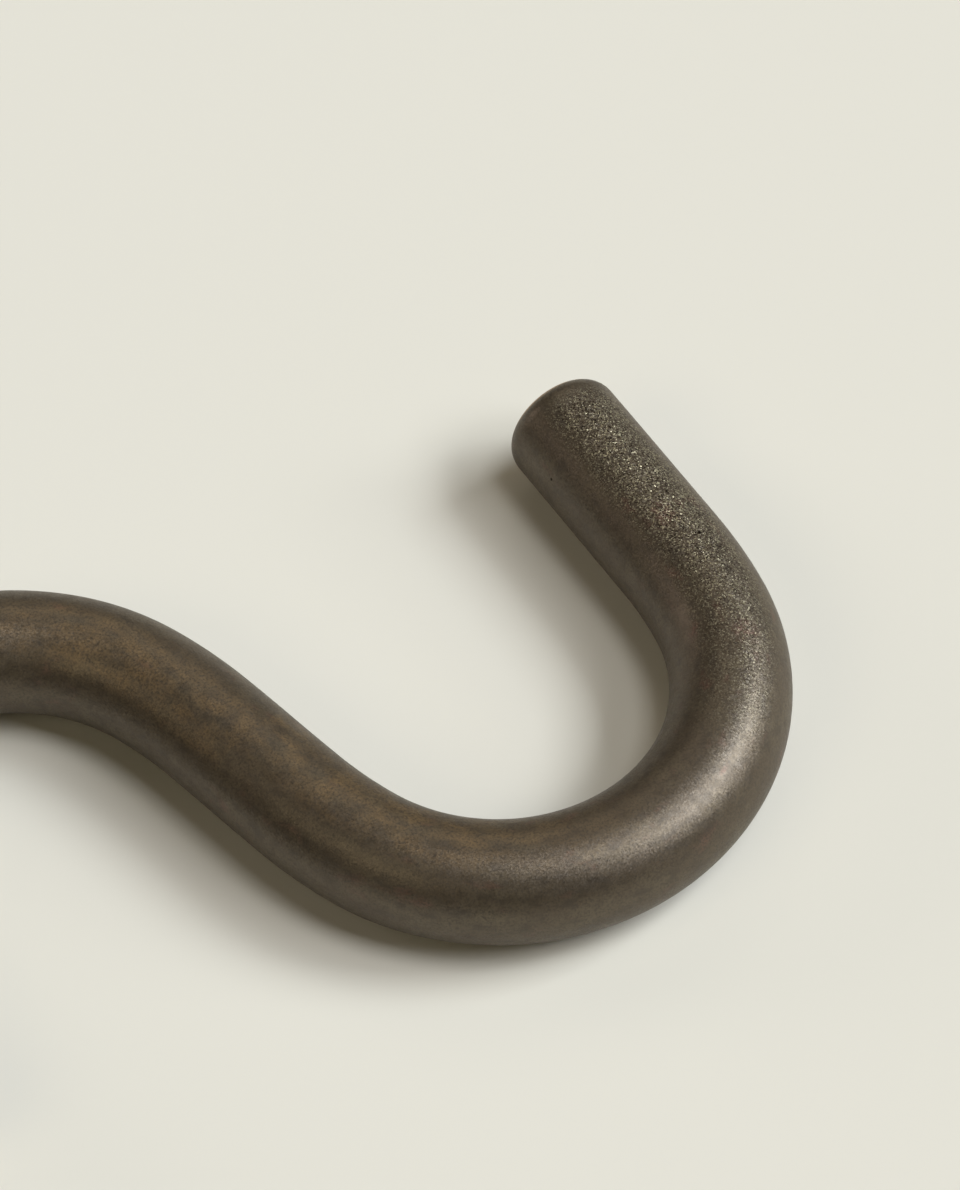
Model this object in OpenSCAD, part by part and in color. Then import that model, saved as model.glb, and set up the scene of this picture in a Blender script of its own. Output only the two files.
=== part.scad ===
// Curtain hook: one round rod bent into an S.
//
// The rod lies flat, with its axis in one level plane and its underside at
// Z = 0. The load line, which joins the centres of the two hooks, is the X
// axis. Half a turn about Z brings the S onto itself, so both ends are alike.
// All lengths are in millimetres and all angles in degrees.

/* [Rod] */
// Diameter of the round rod
rod_d = 6; // [4:0.5:7]

/* [Hooks] */
// Radius of the rod's axis in the round part of each hook
hook_r = 11.3; // [10:0.1:14]
// Angle that the round part turns through
hook_turn = 147.8; // [130:0.2:160]

/* [Easings] */
// Radius of the rod's axis where a hook's bend eases in and out
easing_r = 22.6; // [16:0.2:30]
// Angle that each easing turns through
easing_turn = 10; // [4:0.5:14]

/* [Shank] */
// Radius of the rod's axis in each half of the shank, which is all but straight
shank_r = 200; // [100:10:400]
// Angle that each half of the shank turns through
shank_turn = 0.9; // [0.5:0.1:2]

/* [Straight ends] */
// Length of each straight end, up to its cut face
end_len = 10.4; // [6:0.2:16]
// Radius of the rounding round each cut face
end_round = 1.2; // [0.5:0.1:1.8]

/* [Hidden] */

$fn = 96;

rod_r = rod_d / 2;

// Bends of half the S, from its middle to the straight end, as [radius, turn].
// Every bend turns left, and the straight end runs along +Y.
bends = [
    [shank_r, shank_turn],
    [easing_r, easing_turn],
    [hook_r, hook_turn],
    [easing_r, easing_turn]
];
HOOK = 2; // index of the round part

// Direction of the rod where bend i begins
function heading(i) = i == len(bends) ? 90 : heading(i + 1) - bends[i][1];

// Point on the rod's axis where bend i begins: the S has its middle at the origin
function start(i) =
    i == 0 ? [0, 0]
    : centre(i - 1) + bends[i - 1][0] * [sin(heading(i)), -cos(heading(i))];

// Centre that bend i turns about
function centre(i) = start(i) + bends[i][0] * [-sin(heading(i)), cos(heading(i))];

load_angle = atan2(centre(HOOK).y, centre(HOOK).x);

// Moves by whole hundredths and then by the rest, so that neighbouring pieces
// meet face to face to the last digit
module place(point) {
    hundredths = [round(point.x * 100), round(point.y * 100)] / 100;
    translate(hundredths)
        translate(point - hundredths)
            children();
}

// Bent rod that turns left about the origin, from the direction `from`
module bend(radius, turn, from) {
    rotate_extrude(angle = turn, start = from - 90)
        translate([radius, 0])
            circle(r = rod_r);
}

// Half of the lengthwise section of a straight end, with its corner rounded
module end_section() {
    square([rod_r - end_round, end_len]);
    square([rod_r, end_len - end_round]);
    translate([rod_r - end_round, end_len - end_round])
        circle(r = end_round);
}

// Straight end that leaves the origin along +Y
module straight_end() {
    rotate([-90, 0, 0])
        rotate_extrude()
            end_section();
}

// Half of the S, from its middle to one end
module half_hook() {
    for (i = [0 : len(bends) - 1])
        place(centre(i))
            bend(bends[i][0], bends[i][1], heading(i));
    place(start(len(bends)))
        straight_end();
}

// The whole S, lying on Z = 0 with its load line along X
module hook() {
    color("#4b433a")
        translate([0, 0, rod_r])
            rotate([0, 0, -load_angle])
                for (half_turn = [0, 180])
                    rotate([0, 0, half_turn])
                        half_hook();
}

hook();
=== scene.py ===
"""Curtain hook: a round rod bent into an S, with an antique bronze finish.

The CAD model has the plain bent rod. This scene puts a finely meshed rod in its
place, swept along the same axis, which carries the relief of the finish. Lengths
are in metres and angles in degrees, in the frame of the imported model.
"""

import math

import bpy
import numpy as np
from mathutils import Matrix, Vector, noise


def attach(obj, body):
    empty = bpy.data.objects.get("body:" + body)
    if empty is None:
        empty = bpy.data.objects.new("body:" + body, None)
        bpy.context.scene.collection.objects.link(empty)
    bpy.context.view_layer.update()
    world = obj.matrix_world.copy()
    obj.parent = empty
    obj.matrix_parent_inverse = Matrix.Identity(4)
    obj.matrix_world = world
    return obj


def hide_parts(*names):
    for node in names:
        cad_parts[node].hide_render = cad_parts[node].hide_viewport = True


MM = 0.001

# The rod and its bends, as in the CAD model. Each bend is (radius of the rod's
# axis, turn), from the middle of the S to the straight end. All turn left, and the
# round bend is the one at this place in the list, counted from 0.
ROD_R = 3.0 * MM
BENDS = (
    (200.0 * MM, 0.9),
    (22.6 * MM, 10.0),
    (11.3 * MM, 147.8),
    (22.6 * MM, 10.0),
)
ROUND_BEND = 2
END_LEN = 10.4 * MM
END_ROUND = 1.2 * MM

# How finely the rod is meshed
RING_VERTS = 128
RING_STEP = 0.145 * MM
ROUND_STEPS = 10
FACE_RINGS = 8

# Relief of the surface: it lies under the smooth rod by a skin's depth, then by
# the unevenness of the drawn rod and the finer peel of the finish
SKIN = 0.004 * MM
UNEVEN_DEPTH = 0.02 * MM
UNEVEN_SIZE = 4.0 * MM
PEEL_DEPTH = 0.005 * MM
PEEL_SIZE = 0.5 * MM

# Finish: the colours of the bronze, then how it shines. Its flakes and pits are
# more metallic than the rest.
UMBER = (0.100, 0.075, 0.048, 1.0)
OLIVE = (0.120, 0.094, 0.059, 1.0)
RUSSET = (0.135, 0.080, 0.055, 1.0)
DARK = (0.066, 0.051, 0.035, 1.0)
# The golden colour of a painted warm reflection on the upper side between the bends
PAINTED_SHEEN_GOLD = (0.228, 0.152, 0.073, 1.0)
BARE = (0.48, 0.30, 0.14, 1.0)
PIT = (0.018, 0.012, 0.008, 1.0)
METALLIC = 0.5
MARK_METALLIC = 1.0
SPECULAR = 1.0
SPECULAR_TINT = (0.735, 0.715, 0.695, 1.0)
IOR = 1.6
ROUGH_LOW = 0.38
ROUGH_HIGH = 0.46

# Soft patches in the finish. Each is (size, noise level where it starts, level where
# it is full, detail, how far the noise is moved aside so that no two are alike). The
# first four are drawn out along the rod by the streak.
STREAK = 1.8
OLIVE_CLOUDS = (1.2 * MM, 0.32, 0.72, 3.0, 0.0)
RUSSET_CLOUDS = (1.0 * MM, 0.60, 0.76, 2.0, 0.1)
DARK_CLOUDS = (0.5 * MM, 0.45, 0.80, 3.0, 0.2)
# Streaks of the painted warm reflection on the upper side, in golden
PAINTED_SHEEN_STREAKS = (0.75 * MM, 0.25, 0.80, 4.0, 0.5)
DARK_SPECKS = (0.12 * MM, 0.36, 0.80, 2.0, 0.7)
STAIN_PATCHES = (0.3 * MM, 0.35, 0.60, 3.0, 0.6)
WORN_PATCHES = (0.4 * MM, 0.30, 0.50, 3.0, 0.3)
GLOSS_PATCHES = (0.5 * MM, 0.3, 0.7, 2.0, 0.4)

# The grain of the finish: flakes that are tilted, some of them bare and some dark.
# It is coarse in a patch on each hook, and fine everywhere else.
GRAIN_SIZE = 0.12 * MM
GRAIN_DEPTH = 0.0025 * MM
GRAIN_DETAIL = 2.0
FLAKE_SIZE = 0.063 * MM
FLAKE_TILT = 0.55
FLAKE_COLOUR = (0.60, 0.55, 0.38, 1.0)
BARE_FLAKES = 0.30
DARK_FLAKES = 0.30
FINE_TILT = 0.24

# The coarse grain on the upper outer side, and a painted warm reflection, golden, on
# the upper side between the bends. Each is (the four distances from the middle of the S
# between which it fades in and out, degrees up from the inner side of the bend, degrees
# to each side).
COARSE_PATCH = ((26.0 * MM, 40.0 * MM, 48.3 * MM, 49.6 * MM), 98.0, 46.0)
PAINTED_SHEEN_PATCH = ((-1.0 * MM, 0.0, 11.0 * MM, 22.0 * MM), 78.0, 42.0)

# Marks on the half that the camera sees: two pits and two russet stains. Each is
# (distance along the axis, degrees up from the inner side of the bend, radius), and
# is whole inside the core, which is this share of its radius.
PITS = ((46.5 * MM, 22.0, 0.10 * MM), (38.8 * MM, 104.0, 0.13 * MM))
PIT_CORE = 0.5
STAINS = ((40.6 * MM, 84.0, 1.1 * MM), (32.8 * MM, 104.0, 0.9 * MM))
STAIN_CORE = 0.3

# The worn line on each end's rounding: how far it faces along the rod, and how many
# degrees it reaches to each side
RIM_LEAN = 52.0
RIM_WIDTH = 15.0

# The camera: where it stands, what it looks at, its lens and the nearest it sees
CAMERA_AT = (-51.98 * MM, -160.71 * MM, 248.73 * MM)
CAMERA_TARGET = (13.79 * MM, 5.39 * MM, 3.0 * MM)
CAMERA_LENS_MM = 188.31
CAMERA_SENSOR_MM = 36.0
CAMERA_NEAREST = 0.01

# The studio: the lamps stand this far away and face the middle of the hook. Each is
# (azimuth from +X, elevation, width, height, share of the floor's light, colour).
FLOOR_SIZE = 4.0
FLOOR_COLOUR = (0.760, 0.747, 0.677, 1.0)
WORLD_LEVEL = 0.02
WORLD_COLOUR = (1.2, 1.0, 0.65, 1.0)
LAMP_DISTANCE = 10.0
LAMPS = {
    "key": (-5.0, 43.5, 4.2, 3.1, 0.425, (0.95, 1.0, 1.04)),
    "front": (-38.0, 45.0, 3.4, 3.1, 0.20, (1.0, 1.0, 1.02)),
    "high": (-38.0, 73.0, 3.4, 3.0, 0.195, (1.0, 1.0, 1.0)),
    "top": (50.0, 80.0, 3.5, 3.5, 0.03, (1.15, 1.0, 0.85)),
    "back": (75.0, 42.0, 5.0, 3.5, 0.035, (1.1, 1.0, 0.85)),
    "low": (-14.0, 27.0, 3.0, 2.5, 0.07, (1.0, 1.0, 0.95)),
    "left": (140.0, 20.0, 4.0, 3.5, 0.028, (1.15, 1.0, 0.9)),
    "behind": (-160.0, 42.0, 5.5, 3.5, 0.06, (1.15, 1.0, 0.7)),
}


# ---------------------------------------------------------------- the axis


def cos_sin(degrees):
    """The cosine and the sine of an angle in degrees."""
    angle = math.radians(degrees)
    return math.cos(angle), math.sin(angle)


def turned(vector, degrees):
    """The plane vector, turned to the left."""
    c, s = cos_sin(degrees)
    return Vector((vector.x * c - vector.y * s, vector.x * s + vector.y * c))


def ahead_at(heading):
    """The plane vector of length 1 with this heading, in degrees from +X."""
    return turned(Vector((1.0, 0.0)), heading)


def half_axis():
    """The spans of half the S as (start, heading, radius, turn), and the load angle.

    The last span is the straight end. The load angle is the heading of the line from
    the middle of the S to the round bend's centre, which the CAD model lays along +X.
    """
    heading = 90.0 - sum(turn for _, turn in BENDS)
    point = Vector((0.0, 0.0))
    spans = []
    centres = []
    for radius, turn in BENDS:
        centre = point + radius * turned(ahead_at(heading), 90.0)
        spans.append((point.copy(), heading, radius, turn))
        centres.append(centre)
        heading += turn
        point = centre + radius * ahead_at(heading - 90.0)
    spans.append((point.copy(), heading, math.inf, 0.0))
    middle = centres[ROUND_BEND]
    return spans, math.degrees(math.atan2(middle.y, middle.x))


SPANS, LOAD_ANGLE = half_axis()
HALF_LEN = sum(r * math.radians(t) for r, t in BENDS) + END_LEN


def axis_at(along):
    """Point and heading on the rod's axis, at a distance along it from the middle."""
    side = 1.0 if along >= 0.0 else -1.0
    left = abs(along)
    for start, heading, radius, turn in SPANS:
        length = END_LEN if math.isinf(radius) else radius * math.radians(turn)
        if left <= length or math.isinf(radius):
            break
        left -= length
    if math.isinf(radius):
        point = start + left * ahead_at(heading)
        angle = heading
    else:
        angle = heading + math.degrees(left / radius)
        centre = start + radius * ahead_at(heading + 90.0)
        point = centre + radius * ahead_at(angle - 90.0)
    return turned(point, -LOAD_ANGLE) * side, angle - LOAD_ANGLE


# ---------------------------------------------------------------- the rod's mesh


def stations():
    """(distance along the axis, radius, lean) of every ring, from end to end.

    The lean is how far the surface faces along the rod, in degrees: 0 on the
    rod's side, and 90 or -90 on its end faces.
    """
    flat = HALF_LEN - END_ROUND
    count = math.ceil(2.0 * flat / RING_STEP)
    body = [(-flat + 2.0 * flat * i / count, ROD_R, 0.0) for i in range(count + 1)]
    cap = []
    for i in range(1, ROUND_STEPS + 1):
        lean = 90.0 * i / ROUND_STEPS
        c, s = cos_sin(lean)
        cap.append((flat + END_ROUND * s, ROD_R - END_ROUND * (1.0 - c), lean))
    rim = ROD_R - END_ROUND
    for i in range(1, FACE_RINGS):
        cap.append((HALF_LEN, rim * (1.0 - i / FACE_RINGS), 90.0))
    start = [(-along, radius, -lean) for along, radius, lean in reversed(cap)]
    return start + body + cap


def ring_angles(full_turn):
    """The way round to each point of a ring, where a full turn is this much."""
    return np.linspace(0.0, full_turn, RING_VERTS, endpoint=False)


def rod_surface():
    """Points of the smooth rod and the way that each faces, ring by ring."""
    around = ring_angles(2.0 * math.pi)
    points = []
    facing = []
    for along, radius, lean in stations():
        point, heading = axis_at(along)
        ahead = ahead_at(heading)
        left = turned(ahead, 90.0)
        outward = np.outer(np.cos(around), (left.x, left.y, 0.0))
        outward += np.outer(np.sin(around), (0.0, 0.0, 1.0))
        c, s = cos_sin(lean)
        points.append(np.array((point.x, point.y, ROD_R)) + radius * outward)
        facing.append(c * outward + s * np.array((ahead.x, ahead.y, 0.0)))
    return np.concatenate(points), np.concatenate(facing)


def end_middles():
    """The middle of each end face and the way that it faces."""
    points = []
    facing = []
    for along in (-HALF_LEN, HALF_LEN):
        point, heading = axis_at(along)
        ahead = turned(Vector((math.copysign(1.0, along), 0.0)), heading)
        points.append((point.x, point.y, ROD_R))
        facing.append((ahead.x, ahead.y, 0.0))
    return points, facing


def lumps(points, size):
    """Smooth noise at each point, from 0 to 1, with lumps of about this size."""
    values = [noise.noise(Vector(point) / size) for point in points]
    return np.clip(0.5 + 0.5 * np.array(values), 0.0, 1.0)


def relief(points):
    """How far the real surface lies under the smooth rod at each point."""
    return (
        SKIN
        + UNEVEN_DEPTH * lumps(points, UNEVEN_SIZE)
        + PEEL_DEPTH * lumps(points, PEEL_SIZE)
    )


def rod_faces(rings):
    """Quads between the rings, and a fan that closes each end face."""
    faces = []
    for i in range(rings - 1):
        a = i * RING_VERTS
        b = a + RING_VERTS
        for j in range(RING_VERTS):
            k = (j + 1) % RING_VERTS
            faces.append((a + j, a + k, b + k, b + j))
    first = rings * RING_VERTS
    last = first + 1
    end = first - RING_VERTS
    for j in range(RING_VERTS):
        k = (j + 1) % RING_VERTS
        faces.append((first, k, j))
        faces.append((last, end + j, end + k))
    return faces


def rim_wear(lean):
    """How bare a ring is: 1 on the worn line of the end's rounding, 0 away from it."""
    return max(0.0, 1.0 - abs(abs(lean) - RIM_LEAN) / RIM_WIDTH)


def patch_ring(along, fades, side, width):
    """How much a patch covers each point of the ring at this distance, from 0 to 1.

    The patch fades in and out between the four distances from the middle of the S,
    and reaches this width, in degrees, to each side of the given way round the rod.
    """
    covered = np.interp(abs(along), fades, (0.0, 1.0, 1.0, 0.0))
    around = ring_angles(360.0)
    if along < 0.0:
        around = 180.0 - around
    away = ((around - side + 180.0) % 360.0 - 180.0) / width
    return covered * np.clip(1.0 - away**2, 0.0, 1.0)


def keep_values(mesh, name, rings):
    """A value for each point of the rings, kept by name, and 0 at the ends' middles."""
    every = np.append(np.ravel(rings), (0.0, 0.0))
    mesh.attributes.new(name, "FLOAT", "POINT").data.foreach_set("value", every)


def keep_unbent(mesh, rings):
    """Each point's place on the rod made straight and shortened, for streaks along it."""
    around = ring_angles(2.0 * math.pi)
    places = []
    for along, radius, _ in rings:
        length = np.full(RING_VERTS, along / STREAK)
        across = radius * np.cos(around)
        up = radius * np.sin(around)
        places.append(np.stack([length, across, up], 1))
    for along in (-HALF_LEN, HALF_LEN):
        places.append(np.array([(along / STREAK, 0.0, 0.0)]))
    unbent = mesh.attributes.new("unbent", "FLOAT_VECTOR", "POINT")
    unbent.data.foreach_set("vector", np.concatenate(places).ravel())


def rod_mesh(name):
    """The rod with its relief, as one closed mesh marked with its wear, its grain and the
    painted reflection's patch.
    """
    points, facing = rod_surface()
    middles, outward = end_middles()
    points = np.vstack([points, middles])
    facing = np.vstack([facing, outward])
    points -= facing * relief(points)[:, None]
    rings = stations()
    mesh = bpy.data.meshes.new(name)
    mesh.from_pydata(points.tolist(), [], rod_faces(len(rings)))
    mesh.polygons.foreach_set("use_smooth", [True] * len(mesh.polygons))
    keep_values(mesh, "rim", [[rim_wear(lean)] * RING_VERTS for _, _, lean in rings])
    keep_values(mesh, "coarse", [patch_ring(along, *COARSE_PATCH) for along, _, _ in rings])
    # Where the painted warm reflection lies: on the upper side between the bends
    keep_values(mesh, "painted_sheen", [patch_ring(along, *PAINTED_SHEEN_PATCH) for along, _, _ in rings])
    keep_unbent(mesh, rings)
    mesh.update()
    return mesh


# ---------------------------------------------------------------- materials

# The sockets of a Mix node that mixes colours
MIX_AMOUNT = 0
MIX_A = 6
MIX_B = 7
MIX_RESULT = 2


def connect(tree, value, socket):
    """Link the socket to another node's output, or set it to a plain value."""
    if isinstance(value, bpy.types.NodeSocket):
        tree.links.new(value, socket)
    else:
        socket.default_value = value


def add(tree, kind, settings=None, **inputs):
    """A new node. Each input is a value, or another node's output to link."""
    made = tree.nodes.new(kind)
    for key, value in (settings or {}).items():
        setattr(made, key, value)
    for key, value in inputs.items():
        connect(tree, value, made.inputs[key.replace("_", " ")])
    return made


def attribute(tree, name, output="Fac"):
    """What the mesh has under this name: a number, or a vector from "Vector"."""
    return add(tree, "ShaderNodeAttribute", {"attribute_name": name}).outputs[output]


def mixed(tree, amount, a, b):
    """Colour a mixed with colour b by the amount."""
    node = add(tree, "ShaderNodeMix", {"data_type": "RGBA"})
    connect(tree, amount, node.inputs[MIX_AMOUNT])
    connect(tree, a, node.inputs[MIX_A])
    connect(tree, b, node.inputs[MIX_B])
    return node.outputs[MIX_RESULT]


def combined(tree, operation, a, b):
    """Two numbers put together by a math operation."""
    node = add(tree, "ShaderNodeMath", {"operation": operation})
    connect(tree, a, node.inputs[0])
    connect(tree, b, node.inputs[1])
    return node.outputs[0]


def vector_math(tree, operation, *values):
    """A node that does this operation on the vectors."""
    node = add(tree, "ShaderNodeVectorMath", {"operation": operation})
    for value, socket in zip(values, node.inputs):
        connect(tree, value, socket)
    return node


def spread(tree, value, from_min, from_max, to_min=0.0, to_max=1.0, how="LINEAR"):
    """The value, moved from one range to the other and kept inside it."""
    node = add(tree, "ShaderNodeMapRange", {"interpolation_type": how}, Value=value)
    node.inputs["From Min"].default_value = from_min
    node.inputs["From Max"].default_value = from_max
    node.inputs["To Min"].default_value = to_min
    node.inputs["To Max"].default_value = to_max
    return node.outputs["Result"]


def blotches(tree, where, size, low, high, detail, aside):
    """Soft noise patches of this size, from 0 under the low level to 1 over the high."""
    place = vector_math(tree, "ADD", where, (aside,) * 3).outputs[0]
    cloud = add(tree, "ShaderNodeTexNoise", Vector=place, Scale=1.0 / size, Detail=detail)
    return spread(tree, cloud.outputs["Fac"], low, high, how="SMOOTHSTEP")


def marks(tree, where, places, core):
    """1 inside this share of each mark's radius, which fades to 0 at the radius."""
    total = None
    for along, around, radius in places:
        point, heading = axis_at(along)
        up = math.radians(around)
        side = turned(Vector((0.0, ROD_R * math.cos(up))), heading)
        centre = (point.x + side.x, point.y + side.y, ROD_R * (1.0 + math.sin(up)))
        away = vector_math(tree, "DISTANCE", where, centre).outputs["Value"]
        inside = spread(tree, away, radius, core * radius)
        total = inside if total is None else combined(tree, "ADD", total, inside)
    return total


def bronze_colour(tree, where):
    """Brown with clouds, specks and stains, a painted golden reflection in streaks on the
    upper side, and bare bronze at the cut rims.
    """
    unbent = attribute(tree, "unbent", "Vector")
    colour = mixed(tree, blotches(tree, unbent, *OLIVE_CLOUDS), UMBER, OLIVE)
    colour = mixed(tree, blotches(tree, unbent, *RUSSET_CLOUDS), colour, RUSSET)
    colour = mixed(tree, blotches(tree, unbent, *DARK_CLOUDS), colour, DARK)
    # A painted warm reflection: golden streaks on the upper side between the bends
    streaks = blotches(tree, unbent, *PAINTED_SHEEN_STREAKS)
    sheen_amount = combined(tree, "MULTIPLY", attribute(tree, "painted_sheen"), streaks)
    colour = mixed(tree, sheen_amount, colour, PAINTED_SHEEN_GOLD)
    colour = mixed(tree, blotches(tree, where, *DARK_SPECKS), colour, DARK)
    patches = blotches(tree, where, *STAIN_PATCHES)
    stained = combined(tree, "MULTIPLY", marks(tree, where, STAINS, STAIN_CORE), patches)
    colour = mixed(tree, stained, colour, RUSSET)
    patches = blotches(tree, where, *WORN_PATCHES)
    worn = combined(tree, "MULTIPLY", attribute(tree, "rim"), patches)
    return mixed(tree, worn, colour, BARE)


def flakes(tree, cells):
    """How bare and how dark each cell is: most are 0, and some rise to 1 in coarse grain."""
    noise_node = add(tree, "ShaderNodeTexWhiteNoise", {"noise_dimensions": "3D"}, Vector=cells)
    chance = noise_node.outputs["Value"]
    bare = spread(tree, chance, 1.0 - BARE_FLAKES, 1.0)
    dark = spread(tree, chance, DARK_FLAKES, 0.0)
    coarse = attribute(tree, "coarse")
    return combined(tree, "MULTIPLY", bare, coarse), combined(tree, "MULTIPLY", dark, coarse)


def grain_normal(tree, where):
    """The surface's direction, roughened by the finest grain."""
    scale = 1.0 / GRAIN_SIZE
    grain = add(tree, "ShaderNodeTexNoise", Vector=where, Scale=scale, Detail=GRAIN_DETAIL)
    height = grain.outputs["Fac"]
    bump = add(tree, "ShaderNodeBump", Height=height, Distance=GRAIN_DEPTH, Strength=1.0)
    return bump.outputs["Normal"]


def bronze_normal(tree, where, cells):
    """The surface's direction with its grain, turned a little in each flake."""
    scale = (FLAKE_TILT,) * 3
    shift = (-FLAKE_TILT / 2.0,) * 3
    centred = vector_math(tree, "MULTIPLY_ADD", cells, scale, shift).outputs[0]
    strength = spread(tree, attribute(tree, "coarse"), 0.0, 1.0, FINE_TILT, 1.0)
    tilt = vector_math(tree, "SCALE", centred)
    connect(tree, strength, tilt.inputs["Scale"])
    tilted = vector_math(tree, "ADD", grain_normal(tree, where), tilt.outputs[0])
    return vector_math(tree, "NORMALIZE", tilted.outputs[0]).outputs[0]


def bronze_material():
    """The finish: clouded bronze with flakes, and pits that are as dark as dark flakes."""
    material = bpy.data.materials.new("antique_bronze")
    material.use_nodes = True
    tree = material.node_tree
    where = add(tree, "ShaderNodeTexCoord").outputs["Object"]
    voronoi = add(tree, "ShaderNodeTexVoronoi", Vector=where, Scale=1.0 / FLAKE_SIZE)
    cells = voronoi.outputs["Color"]
    bare, dark = flakes(tree, cells)
    dark = combined(tree, "MAXIMUM", marks(tree, where, PITS, PIT_CORE), dark)
    metal = combined(tree, "MAXIMUM", bare, dark)
    colour = mixed(tree, bare, bronze_colour(tree, where), FLAKE_COLOUR)
    gloss = blotches(tree, where, *GLOSS_PATCHES)
    sockets = {
        "Base Color": mixed(tree, dark, colour, PIT),
        "Normal": bronze_normal(tree, where, cells),
        "Roughness": spread(tree, gloss, 0.0, 1.0, ROUGH_LOW, ROUGH_HIGH),
        "Metallic": spread(tree, metal, 0.0, 1.0, METALLIC, MARK_METALLIC),
    }
    shader = tree.nodes["Principled BSDF"]
    for name, output in sockets.items():
        tree.links.new(output, shader.inputs[name])
    shader.inputs["Specular IOR Level"].default_value = SPECULAR
    shader.inputs["Specular Tint"].default_value = SPECULAR_TINT
    shader.inputs["IOR"].default_value = IOR
    return material


def floor_material():
    """A pale matte floor with no gloss."""
    material = bpy.data.materials.new("pale_floor")
    material.use_nodes = True
    shader = material.node_tree.nodes["Principled BSDF"]
    shader.inputs["Base Color"].default_value = FLOOR_COLOUR
    shader.inputs["Roughness"].default_value = 1.0
    shader.inputs["Specular IOR Level"].default_value = 0.0
    return material


# ---------------------------------------------------------------- the studio


def make_floor():
    """The floor that the hook lies on, centred under it."""
    half = FLOOR_SIZE / 2.0
    mesh = bpy.data.meshes.new("floor")
    corners = [(-half, -half, 0.0), (half, -half, 0.0), (half, half, 0.0), (-half, half, 0.0)]
    mesh.from_pydata(corners, [], [(0, 1, 2, 3)])
    mesh.materials.append(floor_material())
    floor = bpy.data.objects.new("floor", mesh)
    bpy.context.scene.collection.objects.link(floor)


def make_world():
    """A faint warm light from all round, which the camera sees in the floor's colour."""
    world = bpy.data.worlds.new("studio")
    bpy.context.scene.world = world
    world.use_nodes = True
    nodes, links = world.node_tree.nodes, world.node_tree.links
    light = nodes["Background"]
    light.inputs["Color"].default_value = WORLD_COLOUR
    light.inputs["Strength"].default_value = WORLD_LEVEL
    seen = nodes.new("ShaderNodeBackground")
    seen.inputs["Color"].default_value = FLOOR_COLOUR
    path = nodes.new("ShaderNodeLightPath")
    mix = nodes.new("ShaderNodeMixShader")
    links.new(path.outputs["Is Camera Ray"], mix.inputs["Fac"])
    links.new(light.outputs["Background"], mix.inputs[1])
    links.new(seen.outputs["Background"], mix.inputs[2])
    links.new(mix.outputs["Shader"], nodes["World Output"].inputs["Surface"])


def make_lamp(name, azimuth, elevation, width, height, share, colour):
    """A soft rectangular lamp, whose power gives its share of the floor's light."""
    flat, rise = cos_sin(elevation)
    east, north = cos_sin(azimuth)
    away = Vector((east * flat, north * flat, rise))
    data = bpy.data.lights.new(name, "AREA")
    data.shape = "RECTANGLE"
    data.size = width
    data.size_y = height
    data.color = colour
    data.energy = share * math.pi**2 * LAMP_DISTANCE**2 / rise
    lamp = bpy.data.objects.new(name, data)
    lamp.location = away * LAMP_DISTANCE
    lamp.rotation_euler = away.to_track_quat("Z", "Y").to_euler()
    bpy.context.scene.collection.objects.link(lamp)


def make_camera():
    """The camera, which looks down at the +X hook through a long lens."""
    data = bpy.data.cameras.new("camera")
    data.lens = CAMERA_LENS_MM
    data.sensor_width = CAMERA_SENSOR_MM
    data.clip_start = CAMERA_NEAREST
    camera = bpy.data.objects.new("camera", data)
    camera.location = CAMERA_AT
    ahead = Vector(CAMERA_TARGET) - Vector(CAMERA_AT)
    camera.rotation_euler = ahead.to_track_quat("-Z", "Y").to_euler()
    bpy.context.scene.collection.objects.link(camera)
    bpy.context.scene.camera = camera


# ---------------------------------------------------------------- the scene


def make_hook():
    """The rod with its finish, in place of the CAD model's hook."""
    mesh = rod_mesh("hook_rod")
    mesh.materials.append(bronze_material())
    rod = bpy.data.objects.new("hook_rod", mesh)
    bpy.context.scene.collection.objects.link(rod)
    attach(rod, "root")
    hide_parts("hook")


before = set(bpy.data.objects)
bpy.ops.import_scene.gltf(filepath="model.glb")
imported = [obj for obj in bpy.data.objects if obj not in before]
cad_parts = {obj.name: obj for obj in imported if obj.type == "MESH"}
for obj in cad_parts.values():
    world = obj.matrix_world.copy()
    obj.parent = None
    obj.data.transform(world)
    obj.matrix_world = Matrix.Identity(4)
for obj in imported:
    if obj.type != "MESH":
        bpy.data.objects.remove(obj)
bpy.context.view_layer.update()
bpy.context.scene.view_settings.view_transform = "Standard"
make_camera()
make_floor()
make_world()
for name, setting in LAMPS.items():
    make_lamp(name, *setting)
make_hook()
